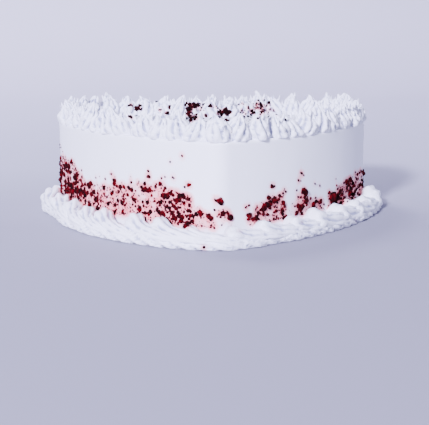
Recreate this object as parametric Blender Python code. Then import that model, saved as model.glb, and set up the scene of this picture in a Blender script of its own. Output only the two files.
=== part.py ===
"""Heart-shaped cream cake: coated body, piped star border on top, piped shell border round the foot.

Metres, +Z up. The cake stands on Z = 0 with the origin under the middle of its box, and the
point of the heart faces -Y. Red sponge crumbs stick to the sides, the top and both borders.
"""

import math
import random

import bmesh
import bpy
from mathutils import Matrix, Vector

# Heart-shaped body, measured over its cream coat
CAKE_WIDTH = 0.212
CAKE_LENGTH = 0.188
CAKE_HEIGHT = 0.060
LOBE_RADIUS = 0.056
FLANK_RADIUS = 0.210
TIP_RADIUS = 0.013
CLEFT_RADIUS = 0.012
RIM_ROUNDING = 0.0025
OUTLINE_STEP = 0.0092

# Air left between solids that touch, and the distance at which corners are welded
GAP = 0.0003
WELD = 0.000001

# Piped stars along the rim
STAR_COUNT = 44
STAR_RADIUS = 0.0074
STAR_HEIGHT = 0.0160
STAR_INSET = 0.0068
STAR_RIDGES = 5
GROOVE_DEPTH = 0.17
STAR_SEED = 11

# Piped shells round the foot
SHELL_COUNT = 30
SHELL_OVERLAP = 1.70
SHELL_RADIUS = 0.0074
SHELL_HEAD_OFFSET = 0.0050
SHELL_TAIL_OFFSET = 0.0104
SHELL_TAIL_RISE = 0.0026
SHELL_SIDES = 8
SHELL_SEED = 26

# The foot spreads further on the flank to the left of the point: where along the outline, as
# shares counted from the point of the heart to the right, and how far
FLARE_FROM = 0.80
FLARE_TO = 0.99
FLARE_REACH = 0.0080

# Beads of cream along the outline, as place off the wall, half width, height and share of the
# flare: a hidden one under the stars and under the shells, and one that shows outside the shells
RIM_BEAD = (-STAR_INSET, 0.0052, 0.0070, 0.0)
FOOT_BEAD = (0.0050, 0.0050, 0.0065, 0.7)
OUTER_BEAD = (0.0098, 0.0046, 0.0062, 1.0)

# Red crumbs, largest first
CRUMB_SEED = 5
CRUMB_SINK = 0.12
WALL_CRUMBS = 78
TOP_CRUMBS = 30
STAR_CRUMBS = 9
SHELL_CRUMBS = 8
CRUMB_LARGEST = 0.0024
CRUMB_SMALLEST = 0.0011
CRUMB_FLOOR = 0.0158

# Crumb drifts on the wall, each from one share of the outline to another, counted from the point
# of the heart to the right, with its height at either end and how thick it lies
DRIFTS = (
    (0.003, 0.014, 0.020, 0.017, 0.7),
    (0.030, 0.050, 0.020, 0.024, 1.1),
    (0.048, 0.073, 0.027, 0.026, 2.2),
    (0.073, 0.092, 0.022, 0.024, 0.5),
    (0.092, 0.136, 0.024, 0.018, 1.5),
    (0.145, 0.162, 0.021, 0.022, 1.2),
    (0.162, 0.205, 0.023, 0.027, 2.6),
    (0.205, 0.262, 0.029, 0.026, 2.6),
    (0.262, 0.345, 0.025, 0.024, 1.3),
    (0.345, 0.460, 0.022, 0.018, 0.7),
    (0.540, 0.655, 0.019, 0.026, 0.8),
    (0.655, 0.738, 0.027, 0.036, 1.5),
    (0.738, 0.797, 0.039, 0.038, 3.0),
    (0.797, 0.822, 0.036, 0.027, 2.3),
    (0.822, 0.875, 0.025, 0.028, 2.0),
    (0.875, 0.940, 0.030, 0.034, 2.5),
    (0.940, 0.972, 0.032, 0.028, 2.8),
    (0.972, 0.996, 0.025, 0.016, 2.4),
)

# Crumbs that stand out by their size: share of the outline, height and radius
LONE_CRUMBS = (
    (0.104, 0.0249, 0.0024),
    (0.153, 0.0172, 0.0036),
    (0.060, 0.0228, 0.0024),
    (0.052, 0.0212, 0.0020),
    (0.098, 0.0160, 0.0022),
    (0.001, 0.0262, 0.0020),
)

CREAM = (0.93, 0.925, 0.91)
CRUMB_RED = (0.20, 0.012, 0.018)


def clear_scene():
    """Empties the scene."""
    for thing in list(bpy.data.objects):
        bpy.data.objects.remove(thing, do_unlink=True)


def plain_material(name, colour, roughness):
    """A Principled material of one colour."""
    material = bpy.data.materials.new(name)
    material.use_nodes = True
    shader = material.node_tree.nodes["Principled BSDF"]
    shader.inputs["Base Color"].default_value = (*colour, 1.0)
    shader.inputs["Roughness"].default_value = roughness
    shader.inputs["Metallic"].default_value = 0.0
    return material


def half_heart():
    """Arcs of the right half from the point to the cleft: centre, radius, start, end, side.

    Side is 1 where the arc bulges outwards and -1 in the cleft.
    """
    lobe = Vector((CAKE_WIDTH / 2 - LOBE_RADIUS, CAKE_LENGTH / 2 - LOBE_RADIUS))
    tip = Vector((0.0, TIP_RADIUS - CAKE_LENGTH / 2))
    reach_tip = FLANK_RADIUS - TIP_RADIUS
    reach_lobe = FLANK_RADIUS - LOBE_RADIUS
    span = lobe - tip
    along = (reach_tip**2 - reach_lobe**2 + span.length_squared) / (2 * span.length)
    across = math.sqrt(reach_tip**2 - along**2)
    unit = span.normalized()
    flank = tip + unit * along + Vector((-unit.y, unit.x)) * across
    cleft_rise = math.sqrt((LOBE_RADIUS + CLEFT_RADIUS) ** 2 - lobe.x**2)
    cleft = Vector((0.0, lobe.y + cleft_rise))

    def heading(start, end):
        step = end - start
        return math.atan2(step.y, step.x)

    return [
        (tip, TIP_RADIUS, -math.pi / 2, heading(flank, tip), 1),
        (flank, FLANK_RADIUS, heading(flank, tip), heading(flank, lobe), 1),
        (lobe, LOBE_RADIUS, heading(flank, lobe), heading(lobe, cleft), 1),
        (cleft, CLEFT_RADIUS, heading(cleft, lobe), -math.pi / 2, -1),
    ]


def whole_heart():
    """Arcs of the whole outline, counter-clockwise from the point of the heart."""
    right = half_heart()
    left = [
        (Vector((-centre.x, centre.y)), radius, math.pi - end, math.pi - start, side)
        for centre, radius, start, end, side in reversed(right)
    ]
    return right + left


def outline_place(share, offset=0.0):
    """Point and outward normal at a share of the outline's length, moved outwards by offset."""
    arcs = whole_heart()
    lengths = [abs(end - start) * (radius + side * offset) for _, radius, start, end, side in arcs]
    left = (share % 1.0) * sum(lengths)
    number = 0
    while left > lengths[number] and number < len(arcs) - 1:
        left -= lengths[number]
        number += 1
    centre, radius, start, end, side = arcs[number]
    angle = start + (end - start) * left / lengths[number]
    ray = Vector((math.cos(angle), math.sin(angle)))
    return centre + ray * (radius + side * offset), ray * side


def flare(share):
    """How much further out the foot reaches at a share of the outline."""
    along = (share % 1.0 - FLARE_FROM) / (FLARE_TO - FLARE_FROM)
    return FLARE_REACH * math.sin(math.pi * along) ** 0.7 if 0 < along < 1 else 0.0


def outline_points(offset=0.0, spread=0.0):
    """The outline as points about one step apart, moved outwards by offset and part of the flare."""
    arcs = whole_heart()
    total = sum(abs(end - start) * radius for _, radius, start, end, _ in arcs)
    passed = 0.0
    points = []
    for centre, radius, start, end, side in arcs:
        length = abs(end - start) * radius
        steps = max(3, math.ceil(length / OUTLINE_STEP))
        for n in range(steps):
            angle = start + (end - start) * n / steps
            out = offset + spread * flare((passed + length * n / steps) / total)
            ray = Vector((math.cos(angle), math.sin(angle)))
            points.append(centre + ray * (radius + side * out))
        passed += length
    return points


def object_from(bm, name, material=None):
    """Links a finished mesh to the scene as an object."""
    bmesh.ops.recalc_face_normals(bm, faces=bm.faces)
    mesh = bpy.data.meshes.new(name)
    bm.to_mesh(mesh)
    bm.free()
    made = bpy.data.objects.new(name, mesh)
    if material:
        mesh.materials.append(material)
    bpy.context.scene.collection.objects.link(made)
    return made


def prism(name, points, low, high):
    """An upright solid over an outline."""
    return lofted([[(p.x, p.y, z) for p in points] for z in (low, high)], name)


def lofted(rings, name):
    """A closed solid through rings of points, each with the same count, capped at both ends."""
    bm = bmesh.new()
    loops = [[bm.verts.new(p) for p in ring] for ring in rings]
    for lower, upper in zip(loops, loops[1:]):
        for n, corner in enumerate(lower):
            after = (n + 1) % len(lower)
            bm.faces.new((corner, lower[after], upper[after], upper[n]))
    bm.faces.new(list(reversed(loops[0])))
    bm.faces.new(loops[-1])
    return object_from(bm, name)


def bead(name, shape, floor):
    """A low bead of cream that follows the outline, as a closed ring."""
    offset, half_width, height, spread = shape
    bm = bmesh.new()
    inner = outline_points(offset - half_width)
    middle = outline_points(offset, spread / 2)
    outer = outline_points(offset + half_width, spread)
    loops = []
    for points, z in ((inner, floor), (outer, floor), (middle, floor + height)):
        loops.append([bm.verts.new((p.x, p.y, z)) for p in points])
    for one, two in ((0, 1), (1, 2), (2, 0)):
        for n in range(len(inner)):
            after = (n + 1) % len(inner)
            bm.faces.new((loops[one][n], loops[one][after], loops[two][after], loops[two][n]))
    return object_from(bm, name)


def joined(base, pieces, name, material, cutters=()):
    """Base with the pieces fused on by one union, less the cutters, as a clean mesh."""
    holder = bpy.data.collections.new(name + "_pieces")
    bpy.context.scene.collection.children.link(holder)
    for piece in pieces:
        bpy.context.scene.collection.objects.unlink(piece)
        holder.objects.link(piece)
    union = base.modifiers.new("union", "BOOLEAN")
    union.operation = "UNION"
    union.operand_type = "COLLECTION"
    union.collection = holder
    union.solver = "MANIFOLD"
    for cutter in cutters:
        cut = base.modifiers.new("cut", "BOOLEAN")
        cut.operation = "DIFFERENCE"
        cut.object = cutter
        cut.solver = "MANIFOLD"
    settle(base)
    for piece in list(holder.objects):
        bpy.data.objects.remove(piece, do_unlink=True)
    bpy.data.collections.remove(holder)
    for cutter in cutters:
        bpy.data.objects.remove(cutter, do_unlink=True)
    base.name = name
    base.data.materials.clear()
    base.data.materials.append(material)
    return base


def settle(thing):
    """Applies an object's modifiers and leaves a welded mesh."""
    bpy.context.view_layer.update()
    graph = bpy.context.evaluated_depsgraph_get()
    bm = bmesh.new()
    bm.from_object(thing, graph)
    thing.modifiers.clear()
    bmesh.ops.remove_doubles(bm, verts=bm.verts, dist=WELD)
    bmesh.ops.dissolve_degenerate(bm, edges=bm.edges, dist=WELD)
    bmesh.ops.triangulate(bm, faces=bm.faces)
    bm.to_mesh(thing.data)
    bm.free()


def star_plan():
    """Each rim star: place, size factor, height factor, twist, and lean of its tip."""
    draw = random.Random(STAR_SEED)
    plan = []
    for n in range(STAR_COUNT):
        spot, _ = outline_place((n + 0.12 * draw.uniform(-1, 1)) / STAR_COUNT, -STAR_INSET)
        size = draw.uniform(0.94, 1.07)
        tall = draw.uniform(0.86, 1.10)
        twist = draw.uniform(-0.5, 0.5)
        turn = draw.uniform(0, 2 * math.pi)
        lean = draw.uniform(0.0006, 0.0024)
        plan.append((spot, size, tall, twist, turn, lean))
    return plan


# Height share, radius share, groove share and share of the tip's lean for each level of a star
STAR_LEVELS = (
    (0.00, 1.00, 1.0, 0.0),
    (0.30, 1.00, 1.0, 0.0),
    (0.66, 0.64, 0.7, 0.2),
    (1.00, 0.07, 0.0, 1.0),
)


def star(entry, floor):
    """A ridged star of piped cream, pulled up to a leaning tip."""
    spot, size, tall, twist, turn, lean = entry
    rings = []
    for rise, wide, groove, leaning in STAR_LEVELS:
        centre = spot + Vector((math.cos(turn), math.sin(turn))) * lean * leaning
        ring = []
        for n in range(2 * STAR_RIDGES):
            angle = math.pi * n / STAR_RIDGES + twist * leaning + turn
            reach = STAR_RADIUS * size * wide * (1 - GROOVE_DEPTH * groove * (n % 2))
            x = centre.x + reach * math.cos(angle)
            y = centre.y + reach * math.sin(angle)
            ring.append((x, y, floor + STAR_HEIGHT * tall * rise))
        rings.append(ring)
    return lofted(rings, "star")


def shell_plan():
    """Each foot shell: start along the outline, size factor and height factor."""
    draw = random.Random(SHELL_SEED)
    plan = []
    for n in range(SHELL_COUNT):
        start = (n + 0.16 * draw.uniform(-1, 1)) / SHELL_COUNT
        size = draw.uniform(0.92, 1.10)
        tall = draw.uniform(0.90, 1.06)
        plan.append((start, size, tall))
    return plan


# Share of the shell's run, radius share and tail share for each section, head first
SHELL_STATIONS = (
    (0.00, 0.50, 0.0),
    (0.10, 0.94, 0.0),
    (0.30, 0.98, 0.2),
    (0.62, 0.70, 0.7),
    (1.00, 0.38, 1.0),
)


def shell(entry):
    """A ridged shell: a fat head against the wall that runs out into a tail along the floor."""
    start, size, tall = entry
    rings = []
    for run, wide, tail in SHELL_STATIONS:
        share = start + run * SHELL_OVERLAP / SHELL_COUNT
        reach_out = SHELL_TAIL_OFFSET - SHELL_HEAD_OFFSET + flare(share)
        offset = SHELL_HEAD_OFFSET + reach_out * tail
        spot, out = outline_place(share, offset)
        radius = SHELL_RADIUS * size * wide
        ring = []
        for n in range(SHELL_SIDES):
            angle = 2 * math.pi * (n + 0.5) / SHELL_SIDES
            reach = radius * (1.0 - 0.09 * (n % 2))
            side = spot + out * reach * math.cos(angle)
            middle = 0.62 * radius * tall + SHELL_TAIL_RISE * tail
            z = middle + reach * tall * math.sin(angle)
            ring.append((side.x, side.y, z))
        rings.append(ring)
    return lofted(rings, "shell")


def crumb(spot, out, size, draw):
    """A rough angular crumb, its middle a little outside the surface it sticks to."""
    bm = bmesh.new()
    bmesh.ops.create_icosphere(bm, subdivisions=1, radius=size)
    for vert in bm.verts:
        vert.co *= draw.uniform(0.80, 1.14)
    stretch = Vector((draw.uniform(0.75, 1.2), draw.uniform(0.75, 1.2), draw.uniform(0.6, 0.9)))
    bmesh.ops.scale(bm, verts=bm.verts, vec=stretch)
    spin = Matrix.Rotation(draw.uniform(0, 2 * math.pi), 3, "Z")
    turned = out.to_track_quat("Z", "Y").to_matrix() @ spin
    bmesh.ops.rotate(bm, verts=bm.verts, matrix=turned)
    bmesh.ops.translate(bm, verts=bm.verts, vec=spot + out * size * CRUMB_SINK)
    return object_from(bm, "crumb")


def crumb_sizes(count):
    """Crumb radii, a few large and many small, largest first."""
    span = CRUMB_LARGEST / CRUMB_SMALLEST
    return [CRUMB_LARGEST * span ** (-(((n + 0.5) / count) ** 0.6)) for n in range(count)]


def wall_crumb_plan(count):
    """Places for crumbs on the wall: position, outward normal and radius."""
    draw = random.Random(CRUMB_SEED)
    weights = [(end - start) * weight for start, end, _, _, weight in DRIFTS]
    plan = []
    for share, z, size in LONE_CRUMBS:
        flat, out = outline_place(share)
        plan.append((Vector((flat.x, flat.y, z)), Vector((out.x, out.y, 0)), size))
    for size in crumb_sizes(count):
        for _ in range(40):
            start, end, first, last, _ = draw.choices(DRIFTS, weights)[0]
            along = draw.random()
            top = first + (last - first) * along
            z = CRUMB_FLOOR + (top - CRUMB_FLOOR) * draw.random() ** 1.2
            flat, out = outline_place(start + (end - start) * along)
            spot = Vector((flat.x, flat.y, max(z, CRUMB_FLOOR)))
            if all((spot - other).length > 1.15 * (size + r) for other, _, r in plan):
                break
        plan.append((spot, Vector((out.x, out.y, 0)), size))
    return plan


def top_crumb_plan(count):
    """Places for crumbs inside the rim border, thickest in the middle."""
    draw = random.Random(CRUMB_SEED + 1)
    clear = 2 * STAR_RADIUS + 0.0045
    plan = []
    for size in crumb_sizes(count):
        for _ in range(60):
            edge, out = outline_place(draw.random(), 0.0)
            reach = draw.random() ** 0.62
            inner = edge - out * clear
            middle = Vector((0.0, 0.004))
            flat = middle + (inner - middle) * reach
            spot = Vector((flat.x, flat.y, CAKE_HEIGHT))
            if inside_border(flat) and all((spot - o).length > 1.1 * (size + r) for o, _, r in plan):
                break
        plan.append((spot, Vector((0, 0, 1)), size))
    return plan


def inside_border(flat):
    """Whether a place on top is clear of every rim star."""
    away = STAR_RADIUS * 1.1 + CRUMB_LARGEST * 1.3
    return all((flat - entry[0]).length > away for entry in star_plan())


def star_crumb_plan(count):
    """Crumbs caught on the inner shoulders of stars near the front and the back middle."""
    draw = random.Random(CRUMB_SEED + 2)
    stars = [entry for entry in star_plan() if abs(entry[0].x) < 0.050]
    plan = []
    for n in range(count):
        spot, size, tall, _, _, _ = stars[(n * 5) % len(stars)]
        turn = draw.uniform(0, 2 * math.pi)
        out = Vector((math.cos(turn), math.sin(turn), 0.9)).normalized()
        reach = STAR_RADIUS * size * 0.64
        z = CAKE_HEIGHT + GAP + STAR_HEIGHT * tall * 0.56
        place = Vector((spot.x + reach * math.cos(turn), spot.y + reach * math.sin(turn), z))
        plan.append((place, out, draw.uniform(0.0013, 0.0021)))
    return plan


def shell_crumb_plan(count):
    """Crumbs that fell on the heads of the foot shells."""
    draw = random.Random(CRUMB_SEED + 3)
    shells = shell_plan()
    plan = []
    for n in range(count):
        start, size, tall = shells[(n * 7 + 2) % len(shells)]
        share = start + 0.25 * SHELL_OVERLAP / SHELL_COUNT
        flat, out = outline_place(share, SHELL_HEAD_OFFSET + 0.45 * SHELL_RADIUS)
        z = SHELL_RADIUS * size * tall * 1.38
        tilt = Vector((out.x * 0.5, out.y * 0.5, 1)).normalized()
        plan.append((Vector((flat.x, flat.y, z)), tilt, draw.uniform(0.0012, 0.0020)))
    return plan


def crumbs(plan, seed):
    """The crumbs of a plan as objects."""
    draw = random.Random(seed)
    return [crumb(spot, out, size, draw) for spot, out, size in plan]


def cake_body(material):
    """The coated cake, with crumbs stuck to its wall and scattered on its top."""
    body = prism("cake", outline_points(), 0.0, CAKE_HEIGHT)
    bm = bmesh.new()
    bm.from_mesh(body.data)
    rim = [e for e in bm.edges if all(v.co.z > CAKE_HEIGHT - GAP for v in e.verts)]
    bmesh.ops.bevel(
        bm, geom=rim, offset=RIM_ROUNDING, segments=2, profile=0.5, affect="EDGES", material=-1
    )
    bm.to_mesh(body.data)
    bm.free()
    stuck = crumbs(wall_crumb_plan(WALL_CRUMBS), CRUMB_SEED + 10)
    strewn = crumbs(top_crumb_plan(TOP_CRUMBS), CRUMB_SEED + 11)
    return joined(body, stuck + strewn, "cake", material)


def top_border(material):
    """The ring of piped stars along the rim."""
    floor = CAKE_HEIGHT + GAP
    core = bead("top_border", RIM_BEAD, floor)
    stars = [star(entry, floor) for entry in star_plan()]
    caught = crumbs(star_crumb_plan(STAR_CRUMBS), CRUMB_SEED + 12)
    return joined(core, stars + caught, "top_border", material)


def base_border(material):
    """The ring of piped shells round the foot, fitted to the wall."""
    core = bead("base_border", FOOT_BEAD, -0.001)
    outer = bead("outer_bead", OUTER_BEAD, -0.0005)
    shells = [shell(entry) for entry in shell_plan()]
    fallen = crumbs(shell_crumb_plan(SHELL_CRUMBS), CRUMB_SEED + 13)
    wall = prism("wall_cutter", outline_points(GAP), -0.01, 0.03)
    ground = prism("floor_cutter", outline_points(0.04), -0.02, 0.0)
    return joined(core, [outer] + shells + fallen, "base_border", material, [wall, ground])


def main():
    """Builds the three solids of the cake."""
    clear_scene()
    coat = plain_material("cream_coat", CREAM, 0.5)
    piping = plain_material("piped_cream", CREAM, 0.45)
    parts = [cake_body(coat), top_border(piping), base_border(piping)]
    for part in parts:
        part.data.shade_flat()


main()
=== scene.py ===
"""Looks of a heart-shaped cake in whipped cream, with piped borders and red velvet crumbs.

The cake is whipped cream spread with a palette knife, a rim of cream stars pulled up from an open
star nozzle, and a foot of cream shells laid with the same nozzle. Crumbled red velvet sponge is
pressed on the wall above the foot and scattered over the top.
"""

import math
import random

import bmesh
import bpy
from mathutils import Matrix, Vector, bvhtree, kdtree, noise


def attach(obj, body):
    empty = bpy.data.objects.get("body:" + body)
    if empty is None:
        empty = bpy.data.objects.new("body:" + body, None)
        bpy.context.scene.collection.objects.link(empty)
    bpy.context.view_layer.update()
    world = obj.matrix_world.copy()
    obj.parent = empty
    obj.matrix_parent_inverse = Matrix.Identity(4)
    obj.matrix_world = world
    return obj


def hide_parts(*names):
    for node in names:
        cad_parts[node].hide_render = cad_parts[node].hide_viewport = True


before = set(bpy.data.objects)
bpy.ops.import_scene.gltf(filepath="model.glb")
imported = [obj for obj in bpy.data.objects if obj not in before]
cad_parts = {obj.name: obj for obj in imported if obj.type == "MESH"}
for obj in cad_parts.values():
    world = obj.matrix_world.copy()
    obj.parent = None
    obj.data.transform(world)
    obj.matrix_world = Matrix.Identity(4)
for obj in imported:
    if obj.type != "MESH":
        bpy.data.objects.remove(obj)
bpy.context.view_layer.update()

# The cake under its cream, in metres, as the solids have it but for the rim, which is sharper
CAKE_WIDTH = 0.212
CAKE_LENGTH = 0.188
CAKE_HEIGHT = 0.060
LOBE_RADIUS = 0.056
FLANK_RADIUS = 0.210
TIP_RADIUS = 0.013
CLEFT_RADIUS = 0.012
RIM_ROUNDING = 0.0014
GAP = 0.0003

# Stars and shells, in metres, as the solids have them
STAR_COUNT = 44
STAR_RADIUS = 0.0074
STAR_HEIGHT = 0.0160
STAR_INSET = 0.0068
STAR_SETTLE = 0.0010
STAR_SEED = 11
SHELL_COUNT = 30
SHELL_RADIUS = 0.0074
SHELL_HEAD_OFFSET = 0.0050
SHELL_TAIL_OFFSET = 0.0104
SHELL_TAIL_RISE = 0.0026
SHELL_OVERLAP = 1.70
SHELL_SEED = 26

# Stretch of the outline where the foot spreads further out, as the solids have it
FLARE_FROM = 0.80
FLARE_TO = 0.99
FLARE_REACH = 0.0080

# Ribbons of cream between the shells and the wall and under their tails, fuller than the solids
# have them so that no gap shows: distance from the wall, half width, height, and how much of the
# foot's spread they follow
FOOT_BEAD = (0.0056, 0.0052, 0.0072, 0.7)
OUTER_BEAD = (0.0092, 0.0050, 0.0064, 1.0)

# Crumbs, in metres, as the solids have them
CRUMB_SEED = 5
CRUMB_SINK = 0.12
WALL_CRUMBS = 78
TOP_CRUMBS = 30
STAR_CRUMBS = 9
SHELL_CRUMBS = 8
CRUMB_LARGEST = 0.0024
CRUMB_SMALLEST = 0.0011
CRUMB_FLOOR = 0.0158

# Finer crumbs that only the looks have, with radii in metres: two batches on the wall as count,
# smallest and largest, two counts for the top, and the range for the strays
WALL_DUST = ((1150, 0.0006, 0.0017), (3100, 0.0002, 0.0006))
TOP_SMALL = 170
TOP_DUST = 900
STRAY_SIZES = (0.0005, 0.0009)

# Room round the stars that top crumbs leave, and the lowest place of a crumb on the foot
STAR_CLEARANCE = 0.0031
LOWEST_CRUMB = 0.0015

# Radius under which crumbs may touch, radius over which they get a finer mesh, and how many shapes
# there are of either
TOUCHING_CRUMB = 0.001
COARSE_CRUMB = 0.0012
CRUMB_SHAPES = 10

# Dust round the crumbs: its reach on the coat, the stars and the shells, the crumb radius that
# counts as one crumb, and how many crumbs colour the cream fully
DUST_REACH = (0.0035, 0.0020, 0.0030)
DUST_CRUMB = 0.001
DUST_FULL = 3.0

# Camera, fitted to the photograph, in metres, radians and pixels, and its sensor in millimetres
SENSOR_WIDTH = 36.0
CAMERA_AIM = (0.00096, 0.01535)
CAMERA_HEIGHT = 0.1238
CAMERA_DISTANCE = 0.6484
CAMERA_PITCH = 0.1909
CAMERA_YAW = 0.032
CAMERA_PLACE = (
    CAMERA_AIM[0] - CAMERA_DISTANCE * math.sin(CAMERA_YAW),
    CAMERA_AIM[1] - CAMERA_DISTANCE * math.cos(CAMERA_YAW),
    CAMERA_HEIGHT,
)
FOCAL_PIXELS = 957.75
PICTURE_WIDTH = 429
PICTURE_MIDDLE = (214.5, 212.5)

# Finish of the piped cream, with depths in metres and pitches in waves for each metre
NOZZLE_TEETH = 8
STAR_SIDES = 56
STAR_RINGS = 22
FROTH_START = 0.0004
STAR_FROTH = 0.0009
STAR_FROTH_PITCH = 240
TEAR = 0.0009
TEAR_PITCH = 480
TEAR_LIFT = Vector((0, 0, 0.4))
FLICKS = 5
FLICK_SIDES = 10
FLICK_RINGS = 5
FLICK_INSET = 0.72
SHELL_SIDES = 40
SHELL_RINGS = 20
SHELL_GROOVE = 0.26
FOOT_FROTH = 0.00065
FOOT_FROTH_FRONT = 0.00015
FOOT_FROTH_FADE = 0.030
FOOT_FROTH_PITCH = 260
RIBBON_SIDES = 20
RIBBON_LINES = 5
RIBBON_TWIST = 35
RIBBON_GROOVE = 0.42
RIBBON_WANDER = 0.0009

# Finish of the spread cream: rings of its mesh, the band left for the rounded rim, and the waves
# of the palette knife, which begin above the foot, with the scales of long and short ones across
# and up
COAT_SEGMENTS = 520
COAT_LEVELS = 26
RIM_BAND = 0.0024
KNIFE_START = 0.001
KNIFE_WAVE = 0.00030
KNIFE_LONG = (20, 14)
KNIFE_SHORT = (75, 40)
KNIFE_SHORT_SHARE = 0.35

# Crumb drifts on the wall, each from one share of the outline to another, counted from the point
# of the heart to the right, with its height at either end in metres and how thick it lies
DRIFTS = (
    (0.003, 0.014, 0.020, 0.017, 0.7),
    (0.030, 0.050, 0.020, 0.024, 1.1),
    (0.048, 0.073, 0.027, 0.026, 2.2),
    (0.073, 0.092, 0.022, 0.024, 0.5),
    (0.092, 0.136, 0.024, 0.018, 1.5),
    (0.145, 0.162, 0.021, 0.022, 1.2),
    (0.162, 0.205, 0.023, 0.027, 2.6),
    (0.205, 0.262, 0.029, 0.026, 2.6),
    (0.262, 0.345, 0.025, 0.024, 1.3),
    (0.345, 0.460, 0.022, 0.018, 0.7),
    (0.540, 0.655, 0.019, 0.026, 0.8),
    (0.655, 0.738, 0.027, 0.036, 1.5),
    (0.738, 0.797, 0.039, 0.038, 3.0),
    (0.797, 0.822, 0.036, 0.027, 2.3),
    (0.822, 0.875, 0.025, 0.028, 2.0),
    (0.875, 0.940, 0.030, 0.034, 2.5),
    (0.940, 0.972, 0.032, 0.028, 2.8),
    (0.972, 0.996, 0.025, 0.016, 2.4),
)
DRIFT_FLOOR = 0.0105

# Stretches of the outline where the finer crumbs lie thinner, and by how much
LOOSE = ((0.0, 0.24, 0.42), (0.73, 0.88, 0.62), (0.97, 1.0, 0.42))

# Crumbs that stand out by their size: share of the outline, height and radius
LONE_CRUMBS = (
    (0.104, 0.0249, 0.0024),
    (0.153, 0.0172, 0.0036),
    (0.060, 0.0228, 0.0024),
    (0.052, 0.0212, 0.0020),
    (0.098, 0.0160, 0.0022),
    (0.001, 0.0262, 0.0020),
)

# Small crumbs that stuck higher up on the wall: share of the outline and height
STRAYS = (
    (0.735, 0.0420),
    (0.742, 0.0445),
    (0.750, 0.0432),
    (0.758, 0.0410),
    (0.815, 0.0330),
    (0.845, 0.0305),
    (0.852, 0.0318),
    (0.862, 0.0310),
    (0.876, 0.0313),
    (0.878, 0.0335),
    (0.901, 0.0352),
    (0.912, 0.0330),
    (0.925, 0.0377),
    (0.944, 0.0376),
    (0.950, 0.0470),
    (0.954, 0.0374),
    (0.966, 0.0330),
    (0.972, 0.0347),
    (0.061, 0.0317),
    (0.074, 0.0290),
    (0.098, 0.0371),
    (0.101, 0.0354),
    (0.097, 0.0323),
    (0.091, 0.0268),
    (0.128, 0.0270),
    (0.160, 0.0285),
    (0.440, 0.0260),
    (0.620, 0.0330),
)

# Crumb clusters that show one by one, by where they are in the photograph: column, row, spread in
# pixels, how many and the largest radius in metres
CAUGHT = (
    (131, 106, 1, 4, 0.0013),
    (138, 108, 1.6, 9, 0.0019),
    (131, 117, 0.8, 3, 0.0014),
    (170, 108, 1, 6, 0.0019),
    (167, 113, 1, 5, 0.0015),
    (161, 110, 1.5, 4, 0.0011),
    (190, 108, 3, 34, 0.0017),
    (195, 106, 3, 26, 0.0016),
    (188, 114, 1.5, 16, 0.0015),
    (191, 120, 1.5, 14, 0.0013),
    (194, 117, 1.5, 14, 0.0013),
    (205, 116, 1, 4, 0.0015),
    (211, 106, 1, 5, 0.0016),
    (203, 109, 2, 6, 0.0012),
    (217, 108, 1.5, 5, 0.0010),
    (225, 112, 2.5, 40, 0.0018),
    (221, 115, 2, 10, 0.0010),
    (241, 103, 1.5, 4, 0.0009),
    (243, 111, 2, 5, 0.0010),
    (250, 110, 4, 26, 0.0012),
    (257, 107, 5, 34, 0.0012),
    (262, 106, 2, 8, 0.0014),
    (268, 110, 4, 24, 0.0011),
    (231, 118, 6, 7, 0.0005),
    (215, 200, 1, 3, 0.0011),
    (225, 213, 3, 9, 0.0011),
    (262, 211, 2.5, 4, 0.0012),
    (256, 218, 1, 2, 0.0016),
    (272, 201, 3.5, 5, 0.0018),
    (303, 191, 1.2, 5, 0.0022),
    (301, 207, 1.4, 4, 0.0020),
    (317, 201, 2.4, 5, 0.0015),
    (331, 197, 1.0, 4, 0.0030),
    (341, 198, 3, 6, 0.0014),
    (350, 192, 4, 4, 0.0015),
    (358, 186, 3, 5, 0.0014),
    (350, 182, 3, 5, 0.0013),
    (64, 160, 2, 8, 0.0009),
    (66, 166, 2, 12, 0.0015),
    (62, 174, 2, 14, 0.0017),
    (63, 182, 3, 12, 0.0018),
    (75, 178, 4, 16, 0.0016),
    (70, 190, 4, 22, 0.0018),
    (80, 190, 4, 24, 0.0016),
    (91, 185, 2, 6, 0.0017),
    (98, 199, 4, 12, 0.0013),
    (128, 195, 5, 10, 0.0013),
    (147, 190, 2, 6, 0.0017),
    (167, 195, 2, 6, 0.0019),
    (137, 210, 3, 10, 0.0014),
    (190, 217, 4, 7, 0.0015),
    (188, 225, 2, 7, 0.0017),
    (194, 249, 1, 2, 0.0011),
    (205, 249, 2, 3, 0.0012),
    (307, 238, 1, 2, 0.0009),
    (357, 222, 1, 1, 0.0007),
    (68, 228, 1, 1, 0.0006),
    (112, 174, 1.5, 3, 0.0008),
    (114, 180, 0.8, 2, 0.0013),
    (148, 176, 0.8, 3, 0.0014),
    (149, 172, 0.6, 1, 0.0010),
    (131, 182, 0.8, 2, 0.0011),
    (121, 187, 0.8, 2, 0.0015),
    (105, 188, 0.8, 2, 0.0016),
    (162, 178, 0.8, 1, 0.0008),
    (172, 177, 0.6, 1, 0.0010),
    (189, 185, 0.8, 2, 0.0013),
    (180, 156, 1.5, 2, 0.0008),
    (272, 186, 0.8, 2, 0.0014),
    (284, 192, 1.2, 3, 0.0011),
    (299, 180, 0.6, 2, 0.0012),
    (300, 173, 1, 3, 0.0009),
    (315, 184, 0.6, 1, 0.0008),
    (336, 185, 0.6, 1, 0.0009),
    (257, 213, 3, 7, 0.0012),
    (247, 206, 1.5, 3, 0.0011),
    (221, 214, 4, 9, 0.0009),
)

# Painted shade in the creases of piped cream: its tone, the depth in metres at which a crease is
# shaded fully, and over how many steps of the mesh the surface is evened to find the creases
PAINTED_CREASE_SHADE = "#A9ABBF"
CREASE_DEPTH = 0.00035
CREASE_STEPS = 5

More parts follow.
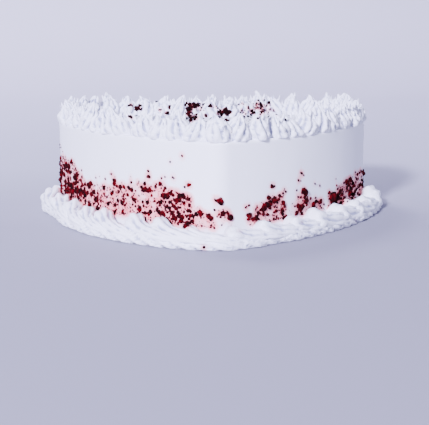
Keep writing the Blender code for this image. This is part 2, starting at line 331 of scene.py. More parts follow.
# Real sizes in millimetres that the patterns' scales are worked out from: specks of dust, air bubbles,
# pores of the sponge, and the palette knife's strokes, across twice and upwards
SPECK_SIZE = 1.923
BUBBLE_SIZE = 1.6667
PORE_SIZE = 3.0303
STROKE_SIZE = (38.46, 38.46, 14.286)

# Values that spread and piped cream share
CREAM_VALUES = {"IOR": 1.45, "Subsurface Radius": (1.0, 0.9, 0.85)}

# Colours along the ramps of cream under crumb dust, of sponge, and of paper, whose ramp also paints
# light brighter towards the back
CREAM_TONES = ((0.02, "#F1F1FA"), (0.20, "#F8BFC1"), (0.52, "#EC7A7E"))
SPONGE_TONES = ((0.36, "#0E0001"), (0.5, "#270003"), (0.66, "#580007"))
PAPER_TONES_AND_PAINTED_LIGHT = (
    (0.0, "#7C7A86"),
    (0.20, "#868491"),
    (0.34, "#ACAAB9"),
    (0.6, "#C4C1D1"),
    (1.0, "#E2DDEC"),
)

# Height in metres from which crumbs grow darker, and by how much of their ramp at the top
DARKER_FROM = 0.045
DARKER_BY = -0.14

# Paper: where its ramp starts and ends from front to back, and the steps of its curve, in metres
PAPER_FRONT = -0.4
PAPER_BACK = 1.4
CURVE_STEPS = 18
CURVE_STEP = 0.062


def linear(hex_colour):
    """An sRGB hex colour as linear red, green, blue and alpha."""
    parts = [int(hex_colour[n : n + 2], 16) / 255 for n in (1, 3, 5)]
    flat = [c / 12.92 if c <= 0.04045 else ((c + 0.055) / 1.055) ** 2.4 for c in parts]
    return (*flat, 1.0)


def add_node(tree, kind, settings=None, values=None, links=None):
    """Adds a node with its settings, its socket values and its incoming links."""
    node = tree.nodes.new(kind)
    for key, value in (settings or {}).items():
        setattr(node, key, value)
    for key, value in (values or {}).items():
        node.inputs[key].default_value = value
    for key, source in (links or {}).items():
        tree.links.new(source, node.inputs[key])
    return node


def new_material(name, values):
    """A material with its shader's values, its tree and its shader."""
    material = bpy.data.materials.new(name)
    material.use_nodes = True
    tree = material.node_tree
    shader = tree.nodes["Principled BSDF"]
    for key, value in values.items():
        shader.inputs[key].default_value = value
    return material, tree, shader


def colour_steps(ramp, steps):
    """Sets a ramp's stops from pairs of place and hex colour."""
    stops = ramp.color_ramp.elements
    while len(stops) < len(steps):
        stops.new(0.5)
    for stop, (place, colour) in zip(stops, steps):
        stop.position = place
        stop.color = linear(colour)


def half_heart():
    """Arcs of the right half from the point to the cleft: centre, radius, start, end, side."""
    lobe = Vector((CAKE_WIDTH / 2 - LOBE_RADIUS, CAKE_LENGTH / 2 - LOBE_RADIUS))
    tip = Vector((0.0, TIP_RADIUS - CAKE_LENGTH / 2))
    reach_tip = FLANK_RADIUS - TIP_RADIUS
    reach_lobe = FLANK_RADIUS - LOBE_RADIUS
    span = lobe - tip
    along = (reach_tip**2 - reach_lobe**2 + span.length_squared) / (2 * span.length)
    across = math.sqrt(reach_tip**2 - along**2)
    unit = span.normalized()
    flank = tip + unit * along + Vector((-unit.y, unit.x)) * across
    cleft = Vector((0.0, lobe.y + math.sqrt((LOBE_RADIUS + CLEFT_RADIUS) ** 2 - lobe.x**2)))

    def heading(start, end):
        step = end - start
        return math.atan2(step.y, step.x)

    return [
        (tip, TIP_RADIUS, -math.pi / 2, heading(flank, tip), 1),
        (flank, FLANK_RADIUS, heading(flank, tip), heading(flank, lobe), 1),
        (lobe, LOBE_RADIUS, heading(flank, lobe), heading(lobe, cleft), 1),
        (cleft, CLEFT_RADIUS, heading(cleft, lobe), -math.pi / 2, -1),
    ]


def whole_heart():
    """Arcs of the whole outline, counter-clockwise from the point of the heart."""
    right = half_heart()
    left = [
        (Vector((-centre.x, centre.y)), radius, math.pi - end, math.pi - start, side)
        for centre, radius, start, end, side in reversed(right)
    ]
    return right + left


HEART = whole_heart()


def outline_place(share, offset=0.0):
    """Point and outward normal at a share of the outline's length, moved outwards by offset."""
    lengths = [abs(end - start) * (radius + side * offset) for _, radius, start, end, side in HEART]
    left = (share % 1.0) * sum(lengths)
    number = 0
    while left > lengths[number] and number < len(HEART) - 1:
        left -= lengths[number]
        number += 1
    centre, radius, start, end, side = HEART[number]
    angle = start + (end - start) * left / lengths[number]
    ray = Vector((math.cos(angle), math.sin(angle)))
    return centre + ray * (radius + side * offset), ray * side


def flare(share):
    """How much further out the foot reaches at a share of the outline."""
    along = (share % 1.0 - FLARE_FROM) / (FLARE_TO - FLARE_FROM)
    return FLARE_REACH * math.sin(math.pi * along) ** 0.7 if 0 < along < 1 else 0.0


def upright(flat, z):
    """A flat place at a height."""
    return Vector((flat.x, flat.y, z))


def object_from(bm, name, material):
    """Finishes a mesh as a smooth object of one material."""
    for face in bm.faces:
        face.smooth = True
    mesh = bpy.data.meshes.new(name)
    bm.to_mesh(mesh)
    bm.free()
    mesh.materials.append(material)
    made = bpy.data.objects.new(name, mesh)
    bpy.context.scene.collection.objects.link(made)
    return made


def piece_from(bm, name, material, node):
    """Finishes a mesh as a piece of the cake."""
    bmesh.ops.recalc_face_normals(bm, faces=bm.faces)
    piece = object_from(bm, name, material)
    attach(piece, "root")
    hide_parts(node)


def first_ring(bm, sides, capped=True):
    """A circle of vertices to draw a shape out of, in order round Z."""
    made = bmesh.ops.create_circle(bm, cap_ends=capped, segments=sides, radius=1.0)
    return sorted(made["verts"], key=lambda vert: math.atan2(vert.co.y, vert.co.x))


def ring_edges(bm, ring):
    """The edges round a closed ring of vertices, in the same order."""
    return [bm.edges.get((one, two)) for one, two in zip(ring, ring[1:] + ring[:1])]


def grow(bm, ring):
    """Draws a closed ring of vertices out into a new one, and returns that in the same order."""
    grown = bmesh.ops.extrude_edge_only(bm, edges=ring_edges(bm, ring))
    fresh = {g for g in grown["geom"] if isinstance(g, bmesh.types.BMVert)}
    return [next(e.other_vert(v) for e in v.link_edges if e.other_vert(v) in fresh) for v in ring]


def close_ring(bm, ring):
    """Caps a ring with a face."""
    bmesh.ops.contextual_create(bm, geom=ring_edges(bm, ring))


def between(rows, place):
    """Values at a place between rows that start with their own place, blended evenly."""
    for low, high in zip(rows, rows[1:]):
        if place <= high[0]:
            break
    share = min(max((place - low[0]) / (high[0] - low[0]), 0.0), 1.0)
    return [one + (two - one) * share for one, two in zip(low[1:], high[1:])]


def coat_levels():
    """Heights of the coat's rings: even steps up to the rim's band, and then the top."""
    band = CAKE_HEIGHT - RIM_BAND
    return [band * (n / COAT_LEVELS) for n in range(1, COAT_LEVELS + 1)] + [CAKE_HEIGHT]


def knife_wave(place, across, up):
    """A wave from -1 to 1 at a place, with one scale across and one up."""
    return noise.noise(Vector((place.x * across, place.y * across, place.z * up)))


def coat():
    """The cream coat: wall, softly rounded rim and level top, waved as a palette knife leaves it."""
    bm = bmesh.new()
    ring = first_ring(bm, COAT_SEGMENTS)
    for n, vert in enumerate(ring):
        flat, _ = outline_place(n / COAT_SEGMENTS)
        vert.co = upright(flat, 0.0)
    for height in coat_levels():
        ring = grow(bm, ring)
        for vert in ring:
            vert.co.z = height
    rim = ring_edges(bm, ring)
    close_ring(bm, ring)
    bmesh.ops.bevel(
        bm, geom=rim, offset=RIM_ROUNDING, segments=3, profile=0.5, affect="EDGES", material=-1
    )
    bmesh.ops.recalc_face_normals(bm, faces=bm.faces)
    bm.normal_update()
    for vert in bm.verts:
        if vert.co.z >= KNIFE_START:
            long_wave = knife_wave(vert.co, *KNIFE_LONG)
            short_wave = knife_wave(vert.co, *KNIFE_SHORT)
            wave = long_wave + KNIFE_SHORT_SHARE * short_wave
            vert.co += vert.normal * KNIFE_WAVE * wave
    return bm


def star_plan():
    """Each rim star: place, size factor, height factor, twist, and lean of its tip."""
    draw = random.Random(STAR_SEED)
    plan = []
    for n in range(STAR_COUNT):
        spot, _ = outline_place((n + 0.12 * draw.uniform(-1, 1)) / STAR_COUNT, -STAR_INSET)
        size = draw.uniform(0.94, 1.07)
        tall = draw.uniform(0.86, 1.10)
        twist = draw.uniform(-0.5, 0.5)
        turn = draw.uniform(0, 2 * math.pi)
        lean = draw.uniform(0.0006, 0.0024)
        plan.append((spot, size, tall, twist, turn, lean))
    return plan


# Height share, radius share, depth of the nozzle's grooves and share of the lean
STAR_PROFILE = (
    (0.00, 0.98, 0.08, 0.0),
    (0.05, 1.08, 0.18, 0.0),
    (0.15, 1.14, 0.26, 0.0),
    (0.28, 1.12, 0.31, 0.0),
    (0.40, 1.02, 0.35, 0.1),
    (0.50, 0.87, 0.38, 0.2),
    (0.59, 0.70, 0.40, 0.4),
    (0.68, 0.51, 0.40, 0.6),
    (0.77, 0.34, 0.36, 0.9),
    (0.86, 0.21, 0.24, 1.3),
    (0.94, 0.11, 0.10, 1.7),
    (1.00, 0.04, 0.00, 2.1),
)


def star(bm, entry, floor, draw):
    """Pipes one star: a toothed bulge, torn along its ridges, that narrows to a leaning peak."""
    spot, size, tall, twist, turn, lean = entry
    ring = first_ring(bm, STAR_SIDES)
    teeth = [(draw.uniform(0.84, 1.12), draw.uniform(-0.0012, 0.0016)) for _ in range(NOZZLE_TEETH)]
    swirl = draw.uniform(0.5, 1.6) * (1 if twist > 0 else -1)
    lean_way = Vector((math.cos(turn), math.sin(turn), 0))
    for level in range(STAR_RINGS + 1):
        rise = level / STAR_RINGS
        wide, cut, leaning = between(STAR_PROFILE, rise)
        if level:
            ring = grow(bm, ring)
        height = STAR_HEIGHT * tall * rise - STAR_SETTLE * (1 - rise)
        middle = upright(spot, floor + height) + lean_way * lean * leaning
        for n, vert in enumerate(ring):
            angle = 2 * math.pi * n / STAR_SIDES
            crest = abs(math.cos(NOZZLE_TEETH * angle / 2)) ** 0.8
            push, lift = teeth[round(n * NOZZLE_TEETH / STAR_SIDES) % NOZZLE_TEETH]
            reach = STAR_RADIUS * size * wide * (1 - cut * (1 - crest))
            reach *= 1 + (push - 1) * crest * (1 - rise)
            way = angle + turn + swirl * rise
            ray = Vector((math.cos(way), math.sin(way), 0))
            place = middle + ray * reach
            torn = noise.noise(Vector((place.x, place.y, place.z * 0.7)) * TEAR_PITCH)
            place += (ray + TEAR_LIFT) * torn * TEAR * crest * min(1, 4 * (1 - rise))
            place.z += lift * crest * math.sin(math.pi * rise)
            vert.co = place
    bmesh.ops.pointmerge(bm, verts=ring, merge_co=middle)


def flick(bm, root, way, length, width):
    """A small peak of torn cream, pulled out of a star where a ridge lets go."""
    ring = first_ring(bm, FLICK_SIDES)
    turned = way.to_track_quat("Z", "Y").to_matrix()
    for level in range(FLICK_RINGS + 1):
        rise = level / FLICK_RINGS
        if level:
            ring = grow(bm, ring)
        reach = width * (1 - rise) ** 0.8 + 0.0001
        middle = root + way * length * rise + Vector((0, 0, 0.0012)) * rise * rise
        for n, vert in enumerate(ring):
            angle = 2 * math.pi * n / FLICK_SIDES
            vert.co = middle + turned @ Vector((math.cos(angle), math.sin(angle) * 0.7, 0)) * reach
    bmesh.ops.pointmerge(bm, verts=ring, merge_co=middle)


def flicks(bm, entry, floor, draw):
    """The small torn peaks on one star's shoulders."""
    spot, size, tall, _, _, _ = entry
    for _ in range(FLICKS):
        turn = draw.uniform(0, 2 * math.pi)
        rise = draw.uniform(0.30, 0.66)
        wide = between(STAR_PROFILE, rise)[0]
        out = Vector((math.cos(turn), math.sin(turn), 0))
        shoulder = upright(spot, floor + STAR_HEIGHT * tall * rise)
        root = shoulder + out * STAR_RADIUS * size * wide * FLICK_INSET
        way = (out * draw.uniform(0.1, 0.55) + Vector((0, 0, 1))).normalized()
        flick(bm, root, way, draw.uniform(0.0028, 0.0052), draw.uniform(0.0011, 0.0019))


def froth(bm, depth, pitch, floor):
    """Breaks the piped surface up, as whipped cream tears when it leaves the nozzle."""
    bm.normal_update()
    for vert in bm.verts:
        place = vert.co * pitch
        wave = noise.noise(place) + 0.6 * noise.noise(place * 2.1) + 0.35 * noise.noise(place * 4.3)
        shift = vert.normal * wave * depth(vert.co)
        if vert.co.z < floor + FROTH_START:
            shift.z = 0
        vert.co += shift
        vert.co.z = max(vert.co.z, floor)


def star_border():
    """The rim of piped stars."""
    draw = random.Random(STAR_SEED + 1)
    whole = bmesh.new()
    floor = CAKE_HEIGHT + GAP
    for entry in star_plan():
        one = bmesh.new()
        star(one, entry, floor, draw)
        flicks(one, entry, floor, draw)
        gather(whole, one)
    froth(whole, lambda place: STAR_FROTH, STAR_FROTH_PITCH, floor - STAR_SETTLE)
    return whole


def gather(whole, part):
    """Adds one mesh to another and frees it."""
    mesh = bpy.data.meshes.new("gathered")
    part.to_mesh(mesh)
    part.free()
    whole.from_mesh(mesh)
    bpy.data.meshes.remove(mesh)


def shell_plan():
    """Each foot shell: start along the outline, size factor and height factor."""
    draw = random.Random(SHELL_SEED)
    plan = []
    for n in range(SHELL_COUNT):
        start = (n + 0.16 * draw.uniform(-1, 1)) / SHELL_COUNT
        size = draw.uniform(0.92, 1.10)
        tall = draw.uniform(0.90, 1.06)
        plan.append((start, size, tall))
    return plan


# Share of the shell's run, radius share and tail share, head first
SHELL_PROFILE = (
    (0.00, 0.40, 0.0),
    (0.03, 0.80, 0.0),
    (0.08, 1.08, 0.0),
    (0.14, 1.18, 0.02),
    (0.21, 1.12, 0.08),
    (0.29, 0.94, 0.22),
    (0.38, 0.80, 0.40),
    (0.50, 0.74, 0.58),
    (0.66, 0.66, 0.78),
    (0.84, 0.52, 0.94),
    (1.00, 0.38, 1.0),
    (1.12, 0.20, 1.0),
)


def shell(bm, entry, draw):
    """Lays one shell: a fat toothed head by the wall, drawn out into a tail along the floor."""
    start, size, tall = entry
    ring = first_ring(bm, SHELL_SIDES)
    roll = draw.uniform(-0.4, 0.4)
    for level in range(SHELL_RINGS + 1):
        run = SHELL_PROFILE[-1][0] * (level / SHELL_RINGS) ** 1.25
        wide, tail = between(SHELL_PROFILE, run)
        if level:
            ring = grow(bm, ring)
        share = start + run * SHELL_OVERLAP / SHELL_COUNT
        reach_out = SHELL_TAIL_OFFSET - SHELL_HEAD_OFFSET + flare(share)
        spot, out = outline_place(share, SHELL_HEAD_OFFSET + reach_out * tail)
        radius = SHELL_RADIUS * size * wide
        middle = 0.60 * radius * tall + SHELL_TAIL_RISE * tail
        for n, vert in enumerate(ring):
            angle = 2 * math.pi * n / SHELL_SIDES
            tooth = abs(math.cos(NOZZLE_TEETH * (angle + roll + 0.8 * run) / 2)) ** 0.8
            reach = radius * (1.05 - SHELL_GROOVE * (1 - tooth) * min(1.0, run * 5))
            side = spot + out * reach * math.cos(angle)
            z = middle + reach * tall * math.sin(angle)
            vert.co = Vector((side.x, side.y, max(z, 0.0)))
    close_ring(bm, ring)


def ribbon(shape):
    """A low ribbon of cream round the cake, with the nozzle's lines along it."""
    offset, half_width, height, spread = shape
    bm = bmesh.new()
    ring = first_ring(bm, RIBBON_SIDES, capped=False)
    first = bm.edges[:]
    for step in range(COAT_SEGMENTS):
        if step:
            ring = grow(bm, ring)
        share = step / COAT_SEGMENTS
        turn = 2 * math.pi * share
        wander = noise.noise(Vector((math.cos(turn) * 9, math.sin(turn) * 9, 2)))
        further = spread * flare(share) / 2
        spot, out = outline_place(share, offset + further + RIBBON_WANDER * wander)
        for n, vert in enumerate(ring):
            angle = 2 * math.pi * n / RIBBON_SIDES
            line = abs(math.cos(RIBBON_LINES * angle / 2 + RIBBON_TWIST * turn)) ** 0.8
            swell = 1.06 - RIBBON_GROOVE * (1 - line)
            side = spot + out * (half_width + further) * swell * math.cos(angle)
            z = height * (0.33 + 0.67 * swell * math.sin(angle))
            vert.co = upright(side, max(z, 0.0))
    bmesh.ops.bridge_loops(bm, edges=first + ring_edges(bm, ring))
    return bm


def foot_tear(place):
    """How deep the foot's surface is torn, which is a little more along the right front."""
    right = min(max(place.x / FOOT_FROTH_FADE, 0.0), 1.0)
    front = min(max(-place.y / FOOT_FROTH_FADE + 1.2, 0.0), 1.0)
    return FOOT_FROTH + FOOT_FROTH_FRONT * (right * front)


def shell_border():
    """The foot of piped shells over an inner and an outer ribbon."""
    draw = random.Random(SHELL_SEED + 1)
    whole = bmesh.new()
    for entry in shell_plan():
        one = bmesh.new()
        shell(one, entry, draw)
        gather(whole, one)
    gather(whole, ribbon(FOOT_BEAD))
    gather(whole, ribbon(OUTER_BEAD))
    froth(whole, foot_tear, FOOT_FROTH_PITCH, 0.0)
    return whole


def crumb_sizes(count):
    """Crumb radii of the solids, a few large and many small, largest first."""
    span = CRUMB_LARGEST / CRUMB_SMALLEST
    return [CRUMB_LARGEST * span ** (-(((n + 0.5) / count) ** 0.6)) for n in range(count)]


def wall_crumb_plan(count):
    """Places of the wall crumbs that the solids have: position, outward normal and radius."""
    draw = random.Random(CRUMB_SEED)
    weights = [(end - start) * weight for start, end, _, _, weight in DRIFTS]
    plan = []
    for share, z, size in LONE_CRUMBS:
        flat, out = outline_place(share)
        plan.append((upright(flat, z), upright(out, 0), size))
    for size in crumb_sizes(count):
        for _ in range(40):
            start, end, first, last, _ = draw.choices(DRIFTS, weights)[0]
            along = draw.random()
            top = first + (last - first) * along
            z = CRUMB_FLOOR + (top - CRUMB_FLOOR) * draw.random() ** 1.2
            flat, out = outline_place(start + (end - start) * along)
            spot = upright(flat, max(z, CRUMB_FLOOR))
            if all((spot - other).length > 1.15 * (size + r) for other, _, r in plan):
                break
        plan.append((spot, upright(out, 0), size))
    return plan


def looseness(share):
    """How much thinner the finer crumbs lie at a share of the outline."""
    return next((thin for first, last, thin in LOOSE if first <= share < last), 1.0)


def dust_plan(count, smallest, largest, seed):
    """Finer crumbs over the same drifts, thinner where they lie in loose patches."""
    draw = random.Random(seed)
    weights = [
        (end - start) * weight * looseness(start) for start, end, _, _, weight in DRIFTS
    ]
    span = largest / smallest
    plan = []
    for n in range(count):
        size = largest * span ** (-(((n + 0.5) / count) ** 0.7))
        start, end, first, last, _ = draw.choices(DRIFTS, weights)[0]
        along = draw.uniform(-0.04, 1.04)
        top = first + (last - first) * along
        z = DRIFT_FLOOR + (top - DRIFT_FLOOR) * draw.random() ** 1.35
        flat, out = outline_place(start + (end - start) * along)
        plan.append((upright(flat, z), upright(out, 0), size))
    return plan


def stray_plan():
    """The few small crumbs high on the wall."""
    draw = random.Random(CRUMB_SEED + 20)
    plan = []
    for share, z in STRAYS:
        flat, out = outline_place(share)
        plan.append((upright(flat, z), upright(out, 0), draw.uniform(*STRAY_SIZES)))
    return plan


def inside_border(flat, stars):
    """Whether a place on top is clear of every rim star."""
    away = STAR_RADIUS * 1.1 + STAR_CLEARANCE
    return all((flat - entry[0]).length > away for entry in stars)


def top_crumb_plan(sizes, seed, middling=0.62):
    """Crumbs inside the rim border, closer to the middle the larger middling is."""
    draw = random.Random(seed)
    clear = 2 * STAR_RADIUS + 0.0045
    middle = Vector((0.0, 0.004))
    stars = star_plan()
    plan = []
    for size in sizes:
        for _ in range(60):
            edge, out = outline_place(draw.random(), 0.0)
            reach = draw.random() ** middling
            inner = edge - out * clear
            flat = middle + (inner - middle) * reach
            spot = upright(flat, CAKE_HEIGHT)
            apart = ((spot - other).length > 1.1 * (size + r) for other, _, r in plan)
            if inside_border(flat, stars) and (size < TOUCHING_CRUMB or all(apart)):
                break
        plan.append((spot, Vector((0, 0, 1)), size))
    return plan


def star_crumb_plan(count):
    """The solids' crumbs on the inner shoulders of stars near the front and the back middle."""
    draw = random.Random(CRUMB_SEED + 2)
    stars = [entry for entry in star_plan() if abs(entry[0].x) < 0.050]
    plan = []
    for n in range(count):
        spot, size, tall, _, _, _ = stars[(n * 5) % len(stars)]
        turn = draw.uniform(0, 2 * math.pi)
        out = Vector((math.cos(turn), math.sin(turn), 0.9)).normalized()
        reach = STAR_RADIUS * size * 0.64
        z = CAKE_HEIGHT + GAP + STAR_HEIGHT * tall * 0.56
        place = Vector((spot.x + reach * math.cos(turn), spot.y + reach * math.sin(turn), z))
        plan.append((place, out, draw.uniform(0.0013, 0.0021)))
    return plan


def shell_crumb_plan(count):
    """The solids' crumbs on the heads of the foot shells."""
    draw = random.Random(CRUMB_SEED + 3)
    shells = shell_plan()
    plan = []
    for n in range(count):
        start, size, tall = shells[(n * 7 + 2) % len(shells)]
        share = start + 0.25 * SHELL_OVERLAP / SHELL_COUNT
        flat, out = outline_place(share, SHELL_HEAD_OFFSET + 0.45 * SHELL_RADIUS)
        tilt = Vector((out.x * 0.5, out.y * 0.5, 1)).normalized()
        spot = upright(flat, SHELL_RADIUS * size * tall * 1.38)
        plan.append((spot, tilt, draw.uniform(0.0012, 0.0020)))
    return plan


def camera_ray(column, row):
    """Start and direction of the sight line through a pixel of the photograph."""
    across = (column - PICTURE_MIDDLE[0]) / FOCAL_PIXELS
    down = (row - PICTURE_MIDDLE[1]) / FOCAL_PIXELS
    turned = Matrix.Rotation(-CAMERA_YAW, 3, "Z") @ Matrix.Rotation(-CAMERA_PITCH, 3, "X")
    return Vector(CAMERA_PLACE), (turned @ Vector((across, 1.0, -down))).normalized()


def caught_plan(surfaces):
    """Crumbs caught on the piping, each on the first surface its sight line meets."""
    draw = random.Random(CRUMB_SEED + 30)
    plan = []
    for column, row, spread, count, largest in CAUGHT:
        for n in range(count):
            pixel = (column + draw.gauss(0, spread), row + draw.gauss(0, spread * 0.7))
            start, way = camera_ray(*pixel)
            hits = [tree.ray_cast(start, way) for tree in surfaces]
            hits = [hit for hit in hits if hit[0]]
            if hits:
                spot, normal, _, _ = min(hits, key=lambda hit: hit[3])
                size = largest * draw.uniform(0.45, 1.0) if n else largest
                plan.append((spot, normal, size))
    return [entry for entry in plan if entry[0].z > LOWEST_CRUMB]


def crumb_shapes(subdivisions, draw):
    """A handful of torn crumb shapes of unit size."""
    shapes = []
    for _ in range(CRUMB_SHAPES):
        bm = bmesh.new()
        made = bmesh.ops.create_icosphere(bm, subdivisions=subdivisions, radius=1.0)
        for vert in made["verts"]:
            vert.co *= draw.uniform(0.68, 1.18)
        mesh = bpy.data.meshes.new("crumb_shape")
        bm.to_mesh(mesh)
        bm.free()
        shapes.append(mesh)
    return shapes


def crumbs_from(plan, seed):
    """One mesh of all crumbs in a plan, each sunk not quite half into what it lies on."""
    draw = random.Random(seed)
    fine, coarse = crumb_shapes(1, draw), crumb_shapes(2, draw)
    bm = bmesh.new()
    for spot, out, size in plan:
        shape = draw.choice(coarse if size > COARSE_CRUMB else fine).copy()
        spin = Matrix.Rotation(draw.uniform(0, 2 * math.pi), 4, "Z")
        stretch = (draw.uniform(0.75, 1.25), draw.uniform(0.75, 1.25), draw.uniform(0.55, 0.9))
        turned = out.to_track_quat("Z", "Y").to_matrix().to_4x4() @ spin
        sized = Matrix.Diagonal((*(size * s for s in stretch), 1.0))
        shape.transform(Matrix.Translation(spot + out * size * CRUMB_SINK) @ turned @ sized)
        bm.from_mesh(shape)
        bpy.data.meshes.remove(shape)
    for mesh in fine + coarse:
        bpy.data.meshes.remove(mesh)
    return bm


def dust_on(bm, crumbs, reach):
    """Notes at each vertex how much crumb dust has settled round it, from 0 to 1."""
    tree = kdtree.KDTree(len(crumbs))
    for n, (spot, _, _) in enumerate(crumbs):
        tree.insert(spot, n)
    tree.balance()
    layer = bm.verts.layers.float.new("crumb_dust")
    for vert in bm.verts:
        total = 0.0
        for _, n, away in tree.find_range(vert.co, reach):
            total += (1 - away / reach) * (crumbs[n][2] / DUST_CRUMB)
        vert[layer] = min(total / DUST_FULL, 1.0)


def crease_shade_on(bm):
    """Notes at each vertex of piped cream how deep it lies in a crease, from 0 to 1, for painted
    shade.
    """
    layer = bm.verts.layers.float.new("painted_crease_shade")
    bmesh.ops.recalc_face_normals(bm, faces=bm.faces)
    bm.normal_update()
    bm.verts.index_update()
    near = [[edge.other_vert(vert).index for edge in vert.link_edges] for vert in bm.verts]
    level = [vert.co.copy() for vert in bm.verts]
    for _ in range(CREASE_STEPS):
        level = [sum((level[n] for n in around), Vector()) / len(around) for around in near]
    for vert, evened in zip(bm.verts, level):
        sunk = (evened - vert.co).dot(vert.normal)
        vert[layer] = min(max(sunk / CREASE_DEPTH, 0.0), 1.0)


def cream_tint(tree, place):
    """Colours cream by the crumb dust on it, in specks."""
    dust = add_node(tree, "ShaderNodeAttribute", {"attribute_name": "crumb_dust"})
    specks = add_node(
        tree,
        "ShaderNodeTexNoise",
        values={"Scale": 1000 / SPECK_SIZE, "Detail": 3.0, "Roughness": 0.7},
        links={"Vector": place},
    )
    weigh = add_node(
        tree,
        "ShaderNodeMath",
        {"operation": "MULTIPLY"},
        links={0: dust.outputs["Fac"], 1: specks.outputs["Fac"]},
    )
    ramp = add_node(tree, "ShaderNodeValToRGB", links={"Fac": weigh.outputs["Value"]})
    colour_steps(ramp, CREAM_TONES)
    return ramp.outputs["Color"]


def cream_material():
    """Whipped cream, lightly sweetened and cold: light sinks in a little, with a soft shine and
    painted shade in the creases.
    """
    values = {"Roughness": 0.46, "Subsurface Weight": 0.08, "Subsurface Scale": 0.0008}
    material, tree, shader = new_material("whipped_cream", {**CREAM_VALUES, **values})
    place = add_node(tree, "ShaderNodeTexCoord").outputs["Object"]
    # Painted shade: the cream's colour is multiplied darker where the piping is creased
    crease = add_node(tree, "ShaderNodeAttribute", {"attribute_name": "painted_crease_shade"})
    shaded = add_node(
        tree,
        "ShaderNodeMixRGB",
        {"blend_type": "MULTIPLY"},
        {"Color2": linear(PAINTED_CREASE_SHADE)},
        {"Fac": crease.outputs["Fac"], "Color1": cream_tint(tree, place)},
    )
    tree.links.new(shaded.outputs["Color"], shader.inputs["Base Color"])
    # Air bubbles and tears, which are really finer, drawn as coarse as they need to show
    bubbles = add_node(
        tree,
        "ShaderNodeTexNoise",
        values={"Scale": 1000 / BUBBLE_SIZE, "Detail": 4.0, "Roughness": 0.6},
        links={"Vector": place},
    )
    bump = add_node(
        tree,
        "ShaderNodeBump",
        values={"Strength": 0.8, "Distance": 0.0009},
        links={"Height": bubbles.outputs["Fac"]},
    )
    tree.links.new(bump.outputs["Normal"], shader.inputs["Normal"])
    return material


def coat_material():
    """The same cream spread smooth, tinted pink where crumb dust has bled into it."""
    name = "whipped_cream_spread_smooth"
    values = {"Roughness": 0.42, "Subsurface Weight": 0.15, "Subsurface Scale": 0.002}
    material, tree, shader = new_material(name, {**CREAM_VALUES, **values})
    place = add_node(tree, "ShaderNodeTexCoord").outputs["Object"]
    tree.links.new(cream_tint(tree, place), shader.inputs["Base Color"])
    # Strokes of the palette knife, long across and short upwards
    sweep = add_node(
        tree,
        "ShaderNodeMapping",
        values={"Scale": [1000 / size for size in STROKE_SIZE]},
        links={"Vector": place},
    )
    strokes = add_node(
        tree,
        "ShaderNodeTexNoise",
        values={"Scale": 1.0, "Detail": 3.0, "Roughness": 0.5},
        links={"Vector": sweep.outputs["Vector"]},
    )
    bump = add_node(
        tree,
        "ShaderNodeBump",
        values={"Strength": 0.25, "Distance": 0.0008},
        links={"Height": strokes.outputs["Fac"]},
    )
    tree.links.new(bump.outputs["Normal"], shader.inputs["Normal"])
    return material


def crumb_material():
    """Crumbled red velvet sponge: dull, open and dark red, nearly black in its pores."""
    values = {"Roughness": 0.95, "IOR": 1.33, "Specular IOR Level": 0.15}
    material, tree, shader = new_material("red_velvet_sponge_crumb", values)
    place = add_node(tree, "ShaderNodeTexCoord").outputs["Object"]
    patches = add_node(
        tree,
        "ShaderNodeTexNoise",
        values={"Scale": 1000 / PORE_SIZE, "Detail": 3.0, "Roughness": 0.6},
        links={"Vector": place},
    )
    # Crumbs grow darker from a little below the rim up to the top
    parts = add_node(tree, "ShaderNodeSeparateXYZ", links={"Vector": place})
    lift = add_node(
        tree,
        "ShaderNodeMapRange",
        values={"From Min": DARKER_FROM, "From Max": CAKE_HEIGHT, "To Max": DARKER_BY},
        links={"Value": parts.outputs["Z"]},
    )
    tone = add_node(
        tree,
        "ShaderNodeMath",
        {"operation": "ADD"},
        links={0: patches.outputs["Fac"], 1: lift.outputs["Result"]},
    )
    ramp = add_node(tree, "ShaderNodeValToRGB", links={"Fac": tone.outputs["Value"]})
    colour_steps(ramp, SPONGE_TONES)
    tree.links.new(ramp.outputs["Color"], shader.inputs["Base Color"])
    return material


def paper_material():
    """Matt paper with painted light: a little deeper in tone at the front than at the back."""
    material, tree, shader = new_material("studio_paper", {"Roughness": 0.9})
    place = add_node(tree, "ShaderNodeTexCoord").outputs["Object"]
    parts = add_node(tree, "ShaderNodeSeparateXYZ", links={"Vector": place})
    depth = add_node(
        tree,
        "ShaderNodeMapRange",
        values={"From Min": PAPER_FRONT, "From Max": PAPER_BACK},
        links={"Value": parts.outputs["Y"]},
    )
    # Painted light: the paper grows lighter from the front to the back and up the backdrop
    ramp = add_node(tree, "ShaderNodeValToRGB", links={"Fac": depth.outputs["Result"]})
    colour_steps(ramp, PAPER_TONES_AND_PAINTED_LIGHT)
    tree.links.new(ramp.outputs["Color"], shader.inputs["Base Color"])
    return material


def studio():
    """A pale floor that curves up into a backdrop."""
    bm = bmesh.new()
    bmesh.ops.create_grid(bm, x_segments=1, y_segments=1, size=1.0)
    bmesh.ops.scale(bm, verts=bm.verts, vec=(3.0, 1.6, 1.0))
    bmesh.ops.translate(bm, verts=bm.verts, vec=(0, -0.6, -0.0002))
    back = [e for e in bm.edges if all(v.co.y > 0.9 for v in e.verts)]
    for n in range(CURVE_STEPS):
        angle = math.pi / 2 * (n + 0.5) / CURVE_STEPS
        step = (0, CURVE_STEP * math.cos(angle), CURVE_STEP * math.sin(angle))
        back = drawn_out(bm, back, step)
    drawn_out(bm, back, (0, 0, 2.4))
    object_from(bm, "studio_paper", paper_material())


def drawn_out(bm, edges, step):
    """Extends edges by a step, and returns the new ones."""
    grown = bmesh.ops.extrude_edge_only(bm, edges=edges)
    verts = [g for g in grown["geom"] if isinstance(g, bmesh.types.BMVert)]
    bmesh.ops.translate(bm, verts=verts, vec=step)
    return [g for g in grown["geom"] if isinstance(g, bmesh.types.BMEdge)]


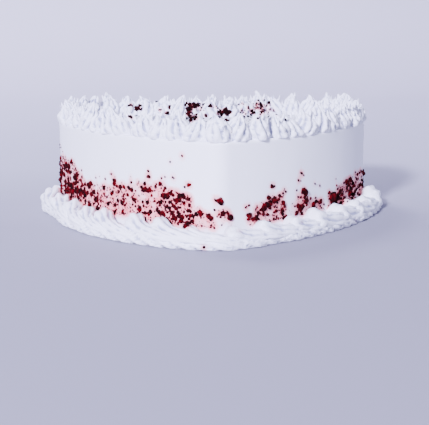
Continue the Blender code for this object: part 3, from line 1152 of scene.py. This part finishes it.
def camera():
    """The camera at the photograph's place."""
    lens = bpy.data.cameras.new("camera")
    lens.sensor_width = SENSOR_WIDTH
    lens.lens = SENSOR_WIDTH * FOCAL_PIXELS / PICTURE_WIDTH
    lens.clip_start = 0.01
    eye = bpy.data.objects.new("camera", lens)
    eye.location = CAMERA_PLACE
    eye.rotation_euler = (math.pi / 2 - CAMERA_PITCH, 0, -CAMERA_YAW)
    bpy.context.scene.collection.objects.link(eye)
    bpy.context.scene.camera = eye


def lamp(name, place, size, power, colour):
    """A square lamp aimed at the cake."""
    light = bpy.data.lights.new(name, "AREA")
    light.shape = "SQUARE"
    light.size = size
    light.energy = power
    light.color = linear(colour)[:3]
    made = bpy.data.objects.new(name, light)
    made.location = place
    aim = Vector((0, 0, 0.03)) - Vector(place)
    made.rotation_euler = aim.to_track_quat("-Z", "Y").to_euler()
    bpy.context.scene.collection.objects.link(made)


def lights():
    """Slightly cool studio light: a key from the front left, a wide fill and one from above."""
    lamp("key", (-0.72, -1.6, 0.85), 0.2, 172.0, "#DADAFF")
    lamp("fill", (1.8, -1.2, 1.0), 1.4, 29.0, "#D0D3FF")
    lamp("top", (-0.6, 0.9, 1.6), 0.5, 42.0, "#DDDCFF")
    world = bpy.data.worlds.new("world")
    world.use_nodes = True
    ground = world.node_tree.nodes["Background"]
    ground.inputs["Color"].default_value = linear("#CBCBF2")
    ground.inputs["Strength"].default_value = 0.5
    bpy.context.scene.world = world


def crumb_plan(surfaces):
    """All crumbs: on the wall, on the top, on the stars and shells, and caught on the piping."""
    plan = wall_crumb_plan(WALL_CRUMBS) + stray_plan()
    for n, (count, smallest, largest) in enumerate(WALL_DUST):
        plan += dust_plan(count, smallest, largest, CRUMB_SEED + 21 + n)
    small = [0.0014 - 0.0006 * n / TOP_SMALL for n in range(TOP_SMALL)]
    dust = [0.0003 + 0.0005 * (n / TOP_DUST) ** 2 for n in range(TOP_DUST)]
    plan += top_crumb_plan(crumb_sizes(TOP_CRUMBS), CRUMB_SEED + 1)
    plan += top_crumb_plan(small, CRUMB_SEED + 24, 0.9)
    plan += top_crumb_plan(dust, CRUMB_SEED + 23, 0.8)
    plan += star_crumb_plan(STAR_CRUMBS) + shell_crumb_plan(SHELL_CRUMBS)
    return plan + caught_plan(surfaces)


def main():
    """Dresses the cake, lights it and sets the camera."""
    spread, stars, shells = coat(), star_border(), shell_border()
    plan = crumb_plan([bvhtree.BVHTree.FromBMesh(bm) for bm in (spread, stars, shells)])
    # The piping's creases are marked for painted shade
    for bm in (stars, shells):
        crease_shade_on(bm)
    for bm, reach in zip((spread, stars, shells), DUST_REACH):
        dust_on(bm, plan, reach)
    cream = cream_material()
    piece_from(spread, "cream_coat", coat_material(), "cake")
    piece_from(stars, "piped_star_border", cream, "top_border")
    piece_from(shells, "piped_shell_border", cream, "base_border")
    sponge = crumb_material()
    piece_from(crumbs_from(plan, CRUMB_SEED + 40), "sponge_crumbs", sponge, "cake")
    studio()
    camera()
    lights()


main()
